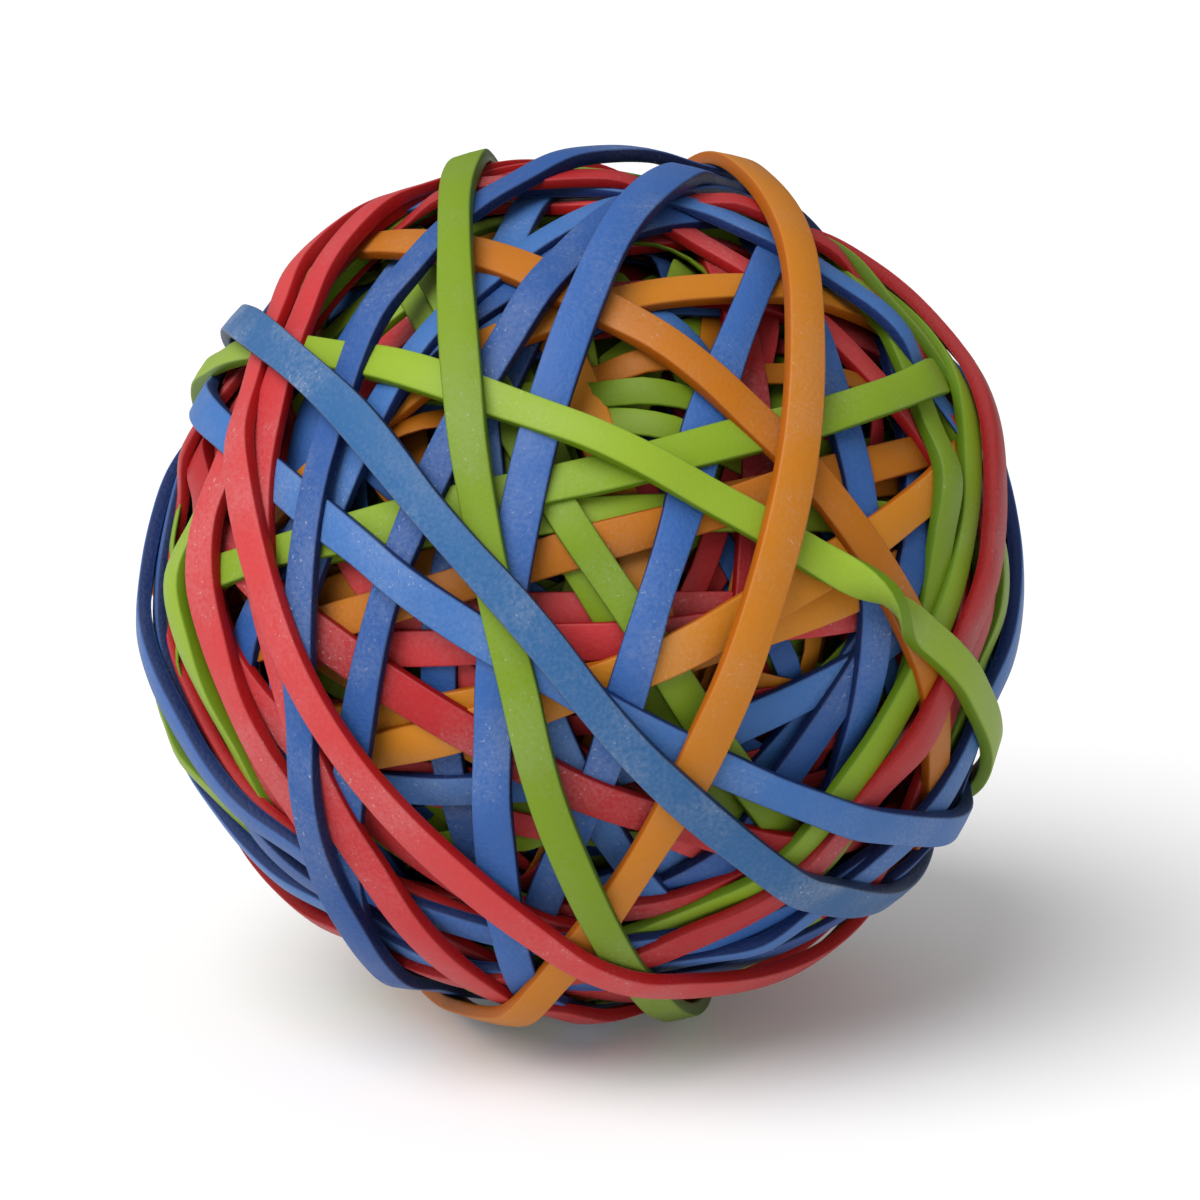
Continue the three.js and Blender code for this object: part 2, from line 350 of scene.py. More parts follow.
@dataclass(frozen=True)
class FloorFinish:
    """Plain pale matte floor.

    Attributes:
        tone: Colour of the floor.
        cloud_size: Size of its very faint unevenness, in metres.
        glow: How much light shines through it, as through a light table.
        cloud_tone: Brightness of its darkest places, as a share of the tone.
        roughness: Roughness of its surface.
    """

    tone: Colour = (0.88, 0.88, 0.88)
    cloud_size: float = 0.3
    glow: float = 0.08
    cloud_tone: float = 0.985
    roughness: float = 0.9

    def build(self) -> bpy.types.Material:
        """Makes the material.

        Returns:
            The material.
        """
        graph = Graph.of_material("floor_pale")
        place = graph.add("ShaderNodeTexCoord", output="Object")
        cloud = graph.noise(place, self.cloud_size)
        darker = tuple(channel * self.cloud_tone for channel in self.tone)
        shader = graph.node("ShaderNodeBsdfPrincipled", None, {
            "Base Color": graph.mix(cloud, self.tone, darker), "Roughness": self.roughness})
        shader.inputs["Emission Color"].default_value = (1, 1, 1, 1)
        shader.inputs["Emission Strength"].default_value = self.glow
        graph.finish(shader)
        return graph.owner


# Each tint is a face colour and a darker side colour; the side colour is painted shade on the sides, as well
# as rubber that holds no dust.
TINTS: dict[Rubber, tuple[tuple[Colour, Colour], ...]] = {
    Rubber.RED: (((0.46, 0.030, 0.034), (0.30, 0.005, 0.006)),
                 ((0.50, 0.044, 0.046), (0.34, 0.007, 0.008)),
                 ((0.36, 0.017, 0.020), (0.24, 0.003, 0.004))),
    Rubber.ORANGE: (((0.48, 0.165, 0.010), (0.36, 0.092, 0.003)),
                    ((0.52, 0.190, 0.013), (0.40, 0.106, 0.004)),
                    ((0.42, 0.132, 0.007), (0.31, 0.072, 0.002))),
    Rubber.GREEN: (((0.195, 0.305, 0.014), (0.090, 0.170, 0.003)),
                   ((0.235, 0.350, 0.022), (0.112, 0.200, 0.004)),
                   ((0.160, 0.255, 0.010), (0.068, 0.135, 0.002))),
    Rubber.BLUE: (((0.032, 0.105, 0.330), (0.005, 0.018, 0.085)),
                  ((0.045, 0.140, 0.380), (0.007, 0.024, 0.110)),
                  ((0.022, 0.080, 0.270), (0.004, 0.013, 0.065))),
}
DUST: dict[Rubber, float] = {Rubber.RED: 0.5, Rubber.ORANGE: 0.3, Rubber.GREEN: 0.3, Rubber.BLUE: 0.55}
BUMPS: dict[Rubber, float] = {Rubber.RED: 0.3, Rubber.ORANGE: 0.3, Rubber.GREEN: 0.2, Rubber.BLUE: 0.6}


def dimmed(colour: Colour, share: float) -> Colour:
    """A colour with its brightness brought down to a share."""
    return (colour[0] * share, colour[1] * share, colour[2] * share)


class Paintbox:
    """The rubber materials, a few tints to a colour."""

    def __init__(self, label: str, brightness: float, dust: float) -> None:
        """Builds every tint.

        Args:
            label: What the materials' names start with.
            brightness: Share of the tints' brightness; a share below 1 is painted shade.
            dust: Share of the tints' dust.
        """
        self.tints: dict[Rubber, list[bpy.types.Material]] = {
            rubber: [RubberFinish(f"{label}_{rubber.value}_rubber_{number}", dimmed(face, brightness),
                                  dimmed(side, brightness), DUST[rubber] * dust, bumps=BUMPS[rubber]).build()
                     for number, (face, side) in enumerate(tints)]
            for rubber, tints in TINTS.items()}

    def pick(self, rubber: Rubber, number: int) -> bpy.types.Material:
        """The tint for the numbered band of a colour."""
        tints = self.tints[rubber]
        return tints[number % len(tints)]


DUSTY_BLUE = RubberFinish("dusty_blue_rubber", (0.026, 0.105, 0.260), (0.006, 0.026, 0.085), 1.2, bumps=0.7)
# Painted shade: the core's dark brownish colour stands for the shade deep in the gaps, not for a rubber
# colour.
SHADED_CORE_RUBBER = RubberFinish("shaded_core_rubber", (0.055, 0.022, 0.026), (0.030, 0.010, 0.012), 0.2)


# ------------------------------------------------------------------ band meshes


@dataclass(frozen=True)
class HalfTwists:
    """Two places where a band turns over and back again.

    Attributes:
        centre: Centre of the ball in metres.
        over: Direction from the centre to where the band turns over.
        back: Direction to where it turns back.
        rows: Mesh rows that each turn takes.
    """

    centre: np.ndarray
    over: tuple[float, float, float]
    back: tuple[float, float, float]
    rows: int = 17

    def angles(self, corners: np.ndarray) -> np.ndarray:
        """How far each section is turned.

        Args:
            corners: Swept corners of shape (rows, 4, 3).

        Returns:
            Angles in radians, of shape (rows,).
        """
        middles = corners.mean(1) - self.centre
        first, second = (int(np.argmax(middles @ np.array(way))) for way in (self.over, self.back))
        count = len(corners)
        past_over = (np.arange(count) - first) % count
        past_back = past_over - (second - first) % count
        before = past_over > count - self.rows
        rising = self.eased(np.where(before, past_over - count, past_over))
        return math.pi * (rising - np.where(before, 0.0, self.eased(past_back)))

    def eased(self, rows: np.ndarray) -> np.ndarray:
        """Share of a turn that is done, by the rows past its middle."""
        share = np.clip(rows / self.rows + 0.5, 0, 1)
        return share * share * (3 - 2 * share)

    def turn(self, corners: np.ndarray) -> np.ndarray:
        """Turns the sections, and lifts the band where it stands on its edge.

        Args:
            corners: Swept corners of shape (rows, 4, 3).

        Returns:
            The turned corners.
        """
        angles = self.angles(corners)[:, None, None]
        middle = corners.mean(1, keepdims=True)
        across = corners[:, 1:2] + corners[:, 2:3] - corners[:, 0:1] - corners[:, 3:4]
        outward = corners[:, 2:3] + corners[:, 3:4] - corners[:, 0:1] - corners[:, 1:2]
        half_width = np.linalg.norm(across, axis=2, keepdims=True) / 4
        across /= np.linalg.norm(across, axis=2, keepdims=True)
        outward /= np.linalg.norm(outward, axis=2, keepdims=True)
        aside = ((corners - middle) * across).sum(2, keepdims=True)
        height = ((corners - middle) * outward).sum(2, keepdims=True)
        cosine, sine = np.cos(angles), np.sin(angles)
        return (middle + across * (aside * cosine - height * sine)
                + outward * (aside * sine + height * cosine + half_width * np.abs(sine)))


@dataclass
class Ribbon:
    """A closed band with rounded edges, swept through the corners of its sections.

    Attributes:
        corners: Section corners in metres, of shape (stations, 4, 3), in Corner order.
        steps: Mesh steps from one station to the next.
        ease: How far the bends are eased, from 0 (through the stations) to 1.
        rounding: Radius of the long edges in metres.
        crown: Height of the outer face's middle above its edges, in metres.
        twists: Where it turns over, if it does.
    """

    corners: np.ndarray
    steps: int = 6
    ease: float = 0.45
    rounding: float = 0.18 * MM
    crown: float = 0.04 * MM
    twists: HalfTwists | None = None

    ARC = (0.0, 45.0, 90.0)  # degrees round a corner at which it has a point
    WIDEST_ROUNDING = 0.42  # most of an edge's length that its rounding takes

    def swept(self) -> np.ndarray:
        """Sweeps the sections along a smooth closed curve.

        Returns:
            Corners at every mesh step, of shape (rows, 4, 3).
        """
        t = np.arange(self.steps)[:, None] / self.steps
        through = 0.5 * np.hstack([-t + 2 * t**2 - t**3, 2 - 5 * t**2 + 3 * t**3,
                                   t + 4 * t**2 - 3 * t**3, -t**2 + t**3])
        near = np.hstack([(1 - t)**3, 3 * t**3 - 6 * t**2 + 4,
                          -3 * t**3 + 3 * t**2 + 3 * t + 1, t**3]) / 6
        weights = (1 - self.ease) * through + self.ease * near
        around = np.stack([np.roll(self.corners, shift, 0) for shift in (1, 0, -1, -2)])
        return np.einsum("sk,kncx->nscx", weights, around).reshape(-1, 4, 3)

    def section(self, corners: np.ndarray) -> tuple[np.ndarray, np.ndarray, np.ndarray]:
        """Rounds every section.

        Args:
            corners: Swept corners of shape (rows, 4, 3).

        Returns:
            The points of shape (rows, points, 3), and for each point of a section how far
            it belongs to a side, and how far to a rounded edge, which gets a painted highlight.
        """
        points, side, edge_highlight = [], [], []
        for corner in Corner:
            here = corners[:, corner.value]
            back = corners[:, corner.value - 1] - here
            ahead = corners[:, (corner.value + 1) % 4] - here
            lengths = [np.linalg.norm(edge, axis=1, keepdims=True) for edge in (back, ahead)]
            radius = np.minimum(self.rounding, self.WIDEST_ROUNDING * np.minimum(*lengths))
            from_side = corner in (Corner.INNER_LEFT, Corner.OUTER_RIGHT)
            for degrees in self.ARC:
                angle = math.radians(degrees)
                points.append(here + radius * (back / lengths[0] * (1 - math.sin(angle))
                                               + ahead / lengths[1] * (1 - math.cos(angle))))
                turned = degrees / 90
                side.append(1 - turned if from_side else turned)
                # Painted highlight: strongest at the middle of each rounded edge.
                edge_highlight.append(math.sin(2 * angle))
            if corner is Corner.OUTER_RIGHT:
                across = corners[:, 3] - corners[:, 2]
                lift = corners[:, 2] + corners[:, 3] - corners[:, 0] - corners[:, 1]
                lift /= np.linalg.norm(lift, axis=1, keepdims=True)
                points.append(corners[:, 2] + across / 2 + lift * self.crown)
                side.append(0.0)
                edge_highlight.append(0.0)
        return np.stack(points, 1), np.array(side), np.array(edge_highlight)

    def mesh(self, name: str) -> bpy.types.Mesh:
        """Builds the closed mesh, with its side attribute and the edge attribute that places a painted
        highlight.

        Args:
            name: The mesh's name.

        Returns:
            The mesh.
        """
        corners = self.swept()
        if self.twists:
            corners = self.twists.turn(corners)
        points, side, edge_highlight = self.section(corners)
        rows, count = points.shape[:2]
        index = np.arange(rows * count).reshape(rows, count)
        ahead = np.roll(index, -1, 0)
        faces = np.stack([index, np.roll(index, -1, 1), np.roll(ahead, -1, 1), ahead], -1).reshape(-1, 4)
        return build_mesh(name, points.reshape(-1, 3), faces,
                          {SIDE_ATTRIBUTE: np.tile(side, rows), EDGE_HIGHLIGHT_ATTRIBUTE: np.tile(edge_highlight, rows)})


def build_mesh(name: str, points: np.ndarray, faces: np.ndarray,
               attributes: dict[str, np.ndarray]) -> bpy.types.Mesh:
    """Makes a smooth-shaded mesh.

    Args:
        name: The mesh's name.
        points: Vertices of shape (n, 3), in metres.
        faces: Vertex numbers of shape (m, 3) or (m, 4).
        attributes: Values for each vertex, by attribute name.

    Returns:
        The mesh.
    """
    mesh = bpy.data.meshes.new(name)
    mesh.from_pydata(points.tolist(), [], faces.tolist())
    mesh.polygons.foreach_set("use_smooth", [True] * len(mesh.polygons))
    for key, values in attributes.items():
        mesh.attributes.new(key, "FLOAT", "POINT").data.foreach_set("value", values.astype(np.float32))
    mesh.update()
    return mesh


def place_piece(name: str, mesh: bpy.types.Mesh, material: bpy.types.Material) -> bpy.types.Object:
    """Puts a mesh in the scene as a piece of the ball.

    Args:
        name: The piece's name.
        mesh: Its mesh, in the frame's coordinates.
        material: Its finish.

    Returns:
        The object.
    """
    piece = bpy.data.objects.new(name, mesh)
    bpy.context.scene.collection.objects.link(piece)
    mesh.materials.append(material)
    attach(piece, ROOT_BODY)
    LOG.info("%s: %d faces in %s", name, len(mesh.polygons), material.name)
    return piece


# ------------------------------------------------------------------ sub-assemblies


@dataclass
class OuterBands:
    """The bands on the outside, one ribbon for each CAD band.

    Attributes:
        nodes: The CAD nodes by name.
        centre: Centre of the ball in metres.
        paintbox: The rubber materials.
        least_thickness: Thickness that a band shows even where the CAD squeezes it.
        sink: How far a band's inner face is let into what it lies on, in metres.
        spread: How much a pressed band widens, as a share of its width.
        unevenness: How much the width varies along a band, as a share of it.
        sway: How far a band strays from its course, in metres.
    """

    nodes: dict[str, bpy.types.Object]
    centre: np.ndarray
    paintbox: Paintbox
    least_thickness: float = 0.95 * MM
    sink: float = 0.1 * MM
    spread: float = 0.1
    unevenness: float = 0.05
    sway: float = 0.08 * MM

    WAVES = (3, 14)  # waves round a band, from the first number up to the second
    PLACES = 6  # decimals in metres to which CAD corners are the same

    def stations(self, node: bpy.types.Object) -> np.ndarray:
        """Reads a CAD band's sections.

        Args:
            node: The CAD band.

        Returns:
            Its corners of shape (stations, 4, 3), from the ball's centre, in Corner order.
        """
        points = np.array([vertex.co for vertex in node.data.vertices], float)
        points = np.unique(np.round(points, self.PLACES), axis=0) - self.centre
        spread, axes = np.linalg.eigh(np.cov((points - points.mean(0)).T))
        pole, start = axes[:, 0], axes[:, 2]
        quarter = np.cross(pole, start)
        angles = np.arctan2(points @ quarter, points @ start)
        order = np.argsort(angles)
        gaps = np.diff(np.append(angles[order], angles[order[0]] + 2 * math.pi))
        order = np.roll(order, -int(np.argmax(gaps)) - 1)
        groups = points[order].reshape(-1, 4, 3)
        sections = np.empty_like(groups)
        for row, group in enumerate(groups):
            group = group[np.argsort(group @ pole)]
            left, right = (pair[np.argsort(np.linalg.norm(pair, axis=1))] for pair in (group[:2], group[2:]))
            sections[row] = left[0], right[0], right[1], left[1]
        return sections

    def loosen(self, sections: np.ndarray, seed: int) -> np.ndarray:
        """Gives a band the slight waves and uneven width of stretched rubber.

        Args:
            sections: Corners of shape (stations, 4, 3), from the ball's centre.
            seed: Seed of the waves.

        Returns:
            The uneven corners.
        """
        random = np.random.default_rng(seed)
        angles = np.arange(len(sections)) * 2 * math.pi / len(sections)
        turns = np.arange(*self.WAVES)
        phases = random.uniform(0, 2 * math.pi, (2, len(turns)))
        sizes = random.normal(size=(2, len(turns))) / math.sqrt(len(turns) / 2)
        sway, swell = (np.cos(np.outer(angles, turns) + phase) @ size for phase, size in zip(phases, sizes))
        across = (sections[:, 1] - sections[:, 0] + sections[:, 2] - sections[:, 3]) / 2
        unit = across / np.linalg.norm(across, axis=1, keepdims=True)
        spare = across / 2 * (self.spread + self.unevenness * swell[:, None])
        aside = unit * self.sway * sway[:, None]
        signs = np.array([-1.0, 1.0, 1.0, -1.0])[None, :, None]
        return sections + aside[:, None] + signs * spare[:, None]

    def thicken(self, sections: np.ndarray) -> np.ndarray:
        """Gives every section at least the least thickness, by lowering its inner face.

        Args:
            sections: Corners of shape (stations, 4, 3).

        Returns:
            The thicker sections.
        """
        sections = sections.copy()
        sides = ((Corner.INNER_LEFT, Corner.OUTER_LEFT), (Corner.INNER_RIGHT, Corner.OUTER_RIGHT))
        for inner, outer in sides:
            depth = sections[:, outer.value] - sections[:, inner.value]
            thickness = np.linalg.norm(depth, axis=1, keepdims=True)
            wanted = np.maximum(thickness + self.sink, self.least_thickness)
            sections[:, inner.value] = sections[:, outer.value] - depth / thickness * wanted
        return sections

    def build(self) -> None:
        """Makes every outer band."""
        for seed, name in enumerate(sorted(self.nodes)):
            if name == INNER_NODE:
                continue
            colour, _, number = name.split("_")
            rubber = Rubber(colour)
            sections = self.loosen(self.stations(self.nodes[name]), seed)
            corners = self.thicken(sections) + self.centre
            finish = DUSTY_BLUE.build() if name == DUSTY_BAND else self.paintbox.pick(rubber, int(number))
            twists = HalfTwists(self.centre, TURNS_OVER, TURNS_BACK) if name == TWISTED_BAND else None
            ribbon = Ribbon(corners, twists=twists)
            piece = place_piece(f"{name}_ribbon", ribbon.mesh(name), finish)
            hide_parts(name)


@dataclass
class Shell:
    """Heights of what is wound so far, in every direction from the ball's centre.

    Attributes:
        bases: Objects whose surface the bands are wound up to, or on.
        covers: Objects that lie over the bands.
        centre: Centre of the ball in metres.
        side: Cells along each side of the six faces of the grid of directions.
        reach: Distance from which the surfaces are looked for, in metres.
        knots: Places on the ball at which the pressing is worked out.
        near: How far round a knot it is felt, in radians.
        headroom: Most that the inner bands bulge out between the outer ones, in metres.
        gap: Gap left under the outer bands, in metres.
        laid_under: True if each band goes straight under the covers, False if all are
            pressed under them afterwards.
    """

    bases: list[bpy.types.Object]
    covers: list[bpy.types.Object]
    centre: np.ndarray
    side: int = 110
    reach: float = 0.1
    knots: int = 2400
    near: float = 0.05
    headroom: float = 4.0 * MM
    gap: float = 0.1 * MM
    laid_under: bool = False
    directions: np.ndarray = field(init=False)
    surface: np.ndarray = field(init=False)
    ceiling: np.ndarray = field(init=False)
    top: np.ndarray = field(init=False)
    floor: float = field(init=False)

    ROWS_AT_ONCE = 2000  # points pressed together, which bounds the memory

    def __post_init__(self) -> None:
        """Measures the surface and what lies over it."""
        ticks = (np.arange(self.side) + 0.5) / self.side * 2 - 1
        u, v = (grid.ravel() for grid in np.meshgrid(ticks, ticks))
        ones = np.ones_like(u)
        faces = [np.roll(np.stack([ones * sign, u, v], 1), turn, 1) for sign in (1, -1) for turn in range(3)]
        self.directions = np.concatenate(faces)
        self.directions /= np.linalg.norm(self.directions, axis=1, keepdims=True)
        self.surface = self.measure(self.bases, self.reach)
        self.ceiling = self.measure(self.covers, 0.0)
        self.top = self.surface.copy()

    def measure(self, objects: list[bpy.types.Object], start: float) -> np.ndarray:
        """Distance from the centre to some objects' surface in every direction.

        Args:
            objects: The objects.
            start: Distance from the centre at which the search starts: 0 to look
                outward, more to look inward from there.

        Returns:
            The distances in metres, infinite where nothing is met.
        """
        points, faces = [], []
        for item in objects:
            faces += [[index + len(points) for index in polygon.vertices] for polygon in item.data.polygons]
            points += [vertex.co for vertex in item.data.vertices]
        tree = BVHTree.FromPolygons(points, faces)
        found = np.full(len(self.directions), np.inf)
        for cell, direction in enumerate(self.directions.tolist()):
            way = Vector(direction)
            hit = tree.ray_cast(Vector(self.centre) + way * start, -way if start else way)
            if hit[0] is not None:
                found[cell] = (hit[0] - Vector(self.centre)).length
        return found

    def start_at(self, depth: float) -> None:
        """Starts the winding at a depth under the surface, in metres."""
        self.floor = self.surface.mean() - depth
        self.top[:] = self.floor

    def press(self, points: np.ndarray) -> np.ndarray:
        """Presses what is wound into the room under the outer bands, all layers alike.

        Args:
            points: Points of shape (n, 3), from the centre.

        Returns:
            The pressed points.
        """
        turn = np.arange(self.knots) * math.pi * (3 - math.sqrt(5))
        height = 1 - (2 * np.arange(self.knots) + 1) / self.knots
        flat = np.sqrt(1 - height**2)
        knots = np.stack([flat * np.cos(turn), flat * np.sin(turn), height], 1)
        room = np.minimum(self.ceiling - self.gap, self.surface + self.headroom) - self.floor
        stack = self.top - self.floor
        share = np.empty(self.knots)
        for index, knot in enumerate(knots):
            close = self.directions @ knot > math.cos(self.near)
            share[index] = min(1.0, room[close].min() / max(stack[close].max(), self.gap))
        radii = np.linalg.norm(points, axis=1, keepdims=True)
        pressed = np.empty_like(points)
        for first in range(0, len(points), self.ROWS_AT_ONCE):
            rows = slice(first, first + self.ROWS_AT_ONCE)
            weights = np.exp((points[rows] / radii[rows] @ knots.T - 1) / self.near**2)
            local = (weights @ share / weights.sum(1))[:, None]
            pressed[rows] = points[rows] / radii[rows] * (self.floor + (radii[rows] - self.floor) * local)
        return pressed


@dataclass
class Hoop:
    """A circle of band round the ball.

    Attributes:
        pole: Unit vector square to its plane.
        shift: Distance of the plane from the centre, in metres.
        width: Width of the band in metres.
        thickness: Thickness of the band in metres.
        stations: Places round it whose height is worked out.
        squeezed: Least thickness of the band where others press on it, in metres.
    """

    pole: np.ndarray
    shift: float
    width: float
    thickness: float
    stations: int = 72
    squeezed: float = 0.2 * MM
    bins: np.ndarray = field(init=False)
    covered: np.ndarray = field(init=False)
    depths: np.ndarray = field(init=False)

    TAUT_ROUNDS = 60
    TAUT_SHARE = 0.5  # how far a round pulls a station towards its chord
    NOMINAL_RADIUS = 34 * MM
    STEEP = 0.9  # height of a pole over which +X serves to find the start

    def __post_init__(self) -> None:
        """Finds the directions along and across the plane."""
        aside = [0.0, 0.0, 1.0] if abs(self.pole[2]) < self.STEEP else [1.0, 0.0, 0.0]
        self.start = np.cross(self.pole, aside)
        self.start /= np.linalg.norm(self.start)
        self.quarter = np.cross(self.pole, self.start)

    def cover(self, shell: Shell) -> None:
        """Finds the cells that the band lies over, and the station of each.

        Args:
            shell: The grid of directions.
        """
        aside = shell.directions @ self.pole * self.NOMINAL_RADIUS - self.shift
        self.covered = np.abs(aside) < self.width / 2
        under = shell.directions[self.covered]
        turn = np.arctan2(under @ self.quarter, under @ self.start) / (2 * math.pi)
        self.bins = np.round(turn * self.stations).astype(int) % self.stations

    def wind(self, shell: Shell) -> np.ndarray:
        """Lays the band taut on what is there.

        Args:
            shell: The heights, which are raised by the band.

        Returns:
            The radius of the band's outer face at each station, in metres.
        """
        self.cover(shell)
        support = np.zeros(self.stations)
        np.maximum.at(support, self.bins, shell.top[self.covered])
        radii = support.copy()
        for _ in range(self.TAUT_ROUNDS):
            before, after = np.roll(radii, 1), np.roll(radii, -1)
            chord = before * after / (before + after) * 2 * math.cos(2 * math.pi / self.stations)
            radii = np.maximum(support, radii + self.TAUT_SHARE * (chord - radii))
        radii += self.thickness
        self.depths = np.full(self.stations, self.thickness)
        if shell.laid_under:
            ceiling = np.full(self.stations, np.inf)
            np.minimum.at(ceiling, self.bins, shell.ceiling[self.covered])
            radii = np.minimum(radii, ceiling - shell.gap)
            self.depths = np.clip(radii - support, self.squeezed, self.thickness)
        shell.top[self.covered] = np.maximum(shell.top[self.covered], radii[self.bins])
        return radii

    def sections(self, radii: np.ndarray) -> np.ndarray:
        """Corners of the band's sections from the centre, in Corner order.

        Args:
            radii: Radius of the outer face at each station.

        Returns:
            Corners of shape (stations, 4, 3), in metres.
        """
        angles = np.arange(self.stations)[:, None] * 2 * math.pi / self.stations
        spoke = self.start * np.cos(angles) + self.quarter * np.sin(angles)
        out = spoke + self.pole * self.shift / self.NOMINAL_RADIUS
        out /= np.linalg.norm(out, axis=1, keepdims=True)
        across = self.pole - out * (out @ self.pole)[:, None]
        across *= self.width / 2 / np.linalg.norm(across, axis=1, keepdims=True)
        outer = out * radii[:, None]
        inner = out * (radii - self.depths)[:, None]
        return np.stack([inner - across, inner + across, outer + across, outer - across], 1)


def pole_at(azimuth: float, elevation: float) -> np.ndarray:
    """Turns two angles into a direction.

    Args:
        azimuth: Degrees round from +X.
        elevation: Degrees above level.

    Returns:
        The unit vector.
    """
    around, above = math.radians(azimuth), math.radians(elevation)
    return np.array([math.cos(above) * math.cos(around), math.cos(above) * math.sin(around),
                     math.sin(above)])


@dataclass
class InnerBands:
    """The bands under the outer ones, wound in every direction on a core whose dark colour is painted shade.

    Attributes:
        shell: Heights of what is wound so far.
        paintbox: The rubber materials.
        mixed: Number of bands wound in mixed directions, under the chosen ones.
        width: Width of a band in metres.
        thickness: Thickness of a band in metres.
        core_depth: How far below the CAD solid's surface the core lies, in metres.
        core_detail: Subdivisions of the core.
        core_turns: Turns of band that stand out on the core.
        core_relief: Height of the last turn above the first one, in metres.
        core_edge: Width of a turn's sloping edge, as a share of its half width.
        core_seed: Seed of the turns' directions.
        seed: Seed of the mixed directions.
    """

    shell: Shell
    paintbox: Paintbox
    mixed: int = 110
    width: float = 2.9 * MM
    thickness: float = 0.95 * MM
    core_depth: float = 4.4 * MM
    core_detail: int = 6
    core_turns: int = 70
    core_relief: float = 1.8 * MM
    core_edge: float = 0.25
    core_seed: int = 11
    seed: int = 7

    STEPS = 2
    ROUNDING = 0.16 * MM
    MOST_SHIFT = 4  # millimetres that a mixed band's plane lies off the centre
    LOWEST_TURN = 0.1  # height of the core's first turn, as a share of its relief

    # Colour, azimuth and elevation of the pole in degrees, and shift in millimetres.
    CHOSEN = (
        (Rubber.ORANGE, 199, 17, 0), (Rubber.BLUE, 118, 35, -1), (Rubber.GREEN, 114, 7, 0),
        (Rubber.RED, 190, 25, 0), (Rubber.GREEN, 313, 58, 0), (Rubber.ORANGE, 124, 7, 0),
        (Rubber.RED, 235, 83, -1), (Rubber.BLUE, 45, 22, 0), (Rubber.GREEN, 219, 58, 0),
        (Rubber.BLUE, 7, 53, 0), (Rubber.RED, 273, 67, 0), (Rubber.ORANGE, 107, 48, 0),
        (Rubber.GREEN, 67, 52, 0), (Rubber.RED, 264, 73, 0), (Rubber.GREEN, 80, 51, 0),
    )

    def courses(self) -> list[tuple[Rubber, np.ndarray, float]]:
        """Lists the inner bands, the deepest first.

        Returns:
            The colour, pole and shift of each.
        """
        random = np.random.default_rng(self.seed)
        colours = [list(Rubber)[index] for index in random.integers(len(Rubber), size=self.mixed)]
        poles = random.normal(size=(self.mixed, 3))
        poles /= np.linalg.norm(poles, axis=1, keepdims=True)
        shifts = random.uniform(-self.MOST_SHIFT, self.MOST_SHIFT, self.mixed) * MM
        rows = list(zip(colours, poles, shifts))
        rows += [(rubber, pole_at(azimuth, elevation), shift * MM)
                 for rubber, azimuth, elevation, shift in self.CHOSEN]
        return rows

    def core_heights(self, out: np.ndarray) -> np.ndarray:
        """Heights of the core, on which the deepest turns of band stand out one over another.

        Args:
            out: Unit directions of shape (n, 3).

        Returns:
            Distances from the centre in metres, of shape (n,).
        """
        poles = np.random.default_rng(self.core_seed).normal(size=(self.core_turns, 3))
        poles /= np.linalg.norm(poles, axis=1, keepdims=True)
        across = np.abs(out @ poles.T) * self.shell.floor / (self.width / 2)
        inside = np.clip((1 - across) / self.core_edge + 1, 0, 1)
        layers = (inside * np.linspace(self.LOWEST_TURN, 1.0, self.core_turns)).max(1)
        return self.shell.floor - self.core_relief * (1 - layers)

    def build_core(self) -> None:
        """Makes the core, which closes the ball under the inner bands, in a dark colour that is painted
        shade.
        """
        bpy.ops.mesh.primitive_ico_sphere_add(subdivisions=self.core_detail, radius=1.0)
        ball = bpy.context.object
        out = np.array([vertex.co for vertex in ball.data.vertices], float)
        faces = np.array([list(polygon.vertices) for polygon in ball.data.polygons])
        bpy.data.objects.remove(ball)
        mesh = build_mesh("core", self.shell.centre + out * self.core_heights(out)[:, None], faces, {})
        piece = place_piece("inner_core_painted_shade", mesh, SHADED_CORE_RUBBER.build())
        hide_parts(INNER_NODE)

    def build(self) -> None:
        """Makes the core and winds the inner bands on it."""
        self.shell.start_at(self.core_depth)
        self.build_core()
        courses = self.courses()
        hoops = [Hoop(pole, shift, self.width, self.thickness) for _, pole, shift in courses]
        wound = np.stack([hoop.sections(hoop.wind(self.shell)) for hoop in hoops])
        pressed = self.shell.press(wound.reshape(-1, 3)).reshape(wound.shape) + self.shell.centre
        for number, ((rubber, _, _), corners) in enumerate(zip(courses, pressed), 1):
            place_piece(f"inner_{rubber.value}_band_{number:02d}",
                        Ribbon(corners, self.STEPS, rounding=self.ROUNDING).mesh(f"inner_{number:02d}"),
                        self.paintbox.pick(rubber, number))


@dataclass
class MiddleBands:
    """Bands wound between the lower and the upper outer bands, which close gaps at the sides.

    Attributes:
        shell: Heights of the lower outer bands, with the upper ones as covers.
        paintbox: The rubber materials.
        width: Width of a band in metres.
        thickness: Thickness of a band in metres.
    """

    shell: Shell
    paintbox: Paintbox
    width: float = 2.9 * MM
    thickness: float = 0.9 * MM

    STEPS = 3

    # Colour, azimuth and elevation of the pole in degrees, and shift in millimetres.
    COURSES = (
        (Rubber.ORANGE, 262, 14, 3), (Rubber.RED, 284, 6, -1), (Rubber.GREEN, 270, 30, 2),
        (Rubber.BLUE, 255, -8, 1), (Rubber.RED, 268, -14, -2), (Rubber.GREEN, 292, 22, -3),
        (Rubber.ORANGE, 276, 2, -4), (Rubber.RED, 248, 12, 2),
    )

    def build(self) -> None:
        """Winds every middle band."""
        for number, (rubber, azimuth, elevation, shift) in enumerate(self.COURSES, 1):
            hoop = Hoop(pole_at(azimuth, elevation), shift * MM, self.width, self.thickness)
            corners = hoop.sections(hoop.wind(self.shell)) + self.shell.centre
            place_piece(f"middle_{rubber.value}_band_{number:02d}",
                        Ribbon(corners, self.STEPS).mesh(f"middle_{number:02d}"),
                        self.paintbox.pick(rubber, number))


